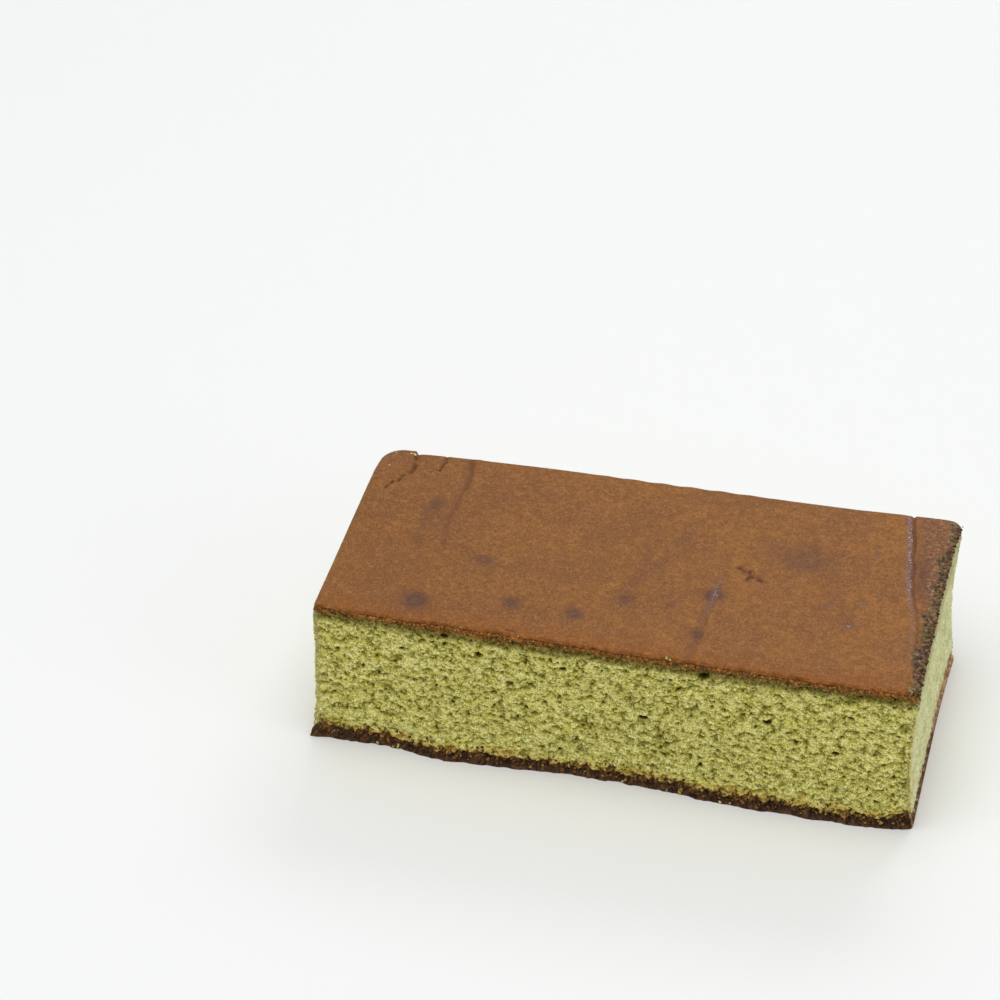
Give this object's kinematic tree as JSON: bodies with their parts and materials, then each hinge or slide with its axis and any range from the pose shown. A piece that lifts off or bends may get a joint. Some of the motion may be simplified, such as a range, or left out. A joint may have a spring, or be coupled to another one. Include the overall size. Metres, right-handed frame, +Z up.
{
  "type": "castella sponge cake",
  "caption": "Green tea castella: a tall oblong sponge cake with a flat browned top, a dark base crust and one long cut face of open crumb.",
  "frame": {"origin": "middle of the cake's box, on the surface that it stands on", "axes": "+X along the length, -Y out of the long cut face, +Z up"},
  "size_m": [0.1844, 0.0882, 0.0515],
  "materials": {
    "green_crumb": "dry open sponge crumb",
    "peeled_side": "pale dense crumb skin where the lining paper was peeled off",
    "top_crust": "satin browned skin",
    "base_crust": "dark crumbly base crust"
  },
  "bodies": {
    "root": {"castella": "green_crumb"}
  },
  "joints": []
}
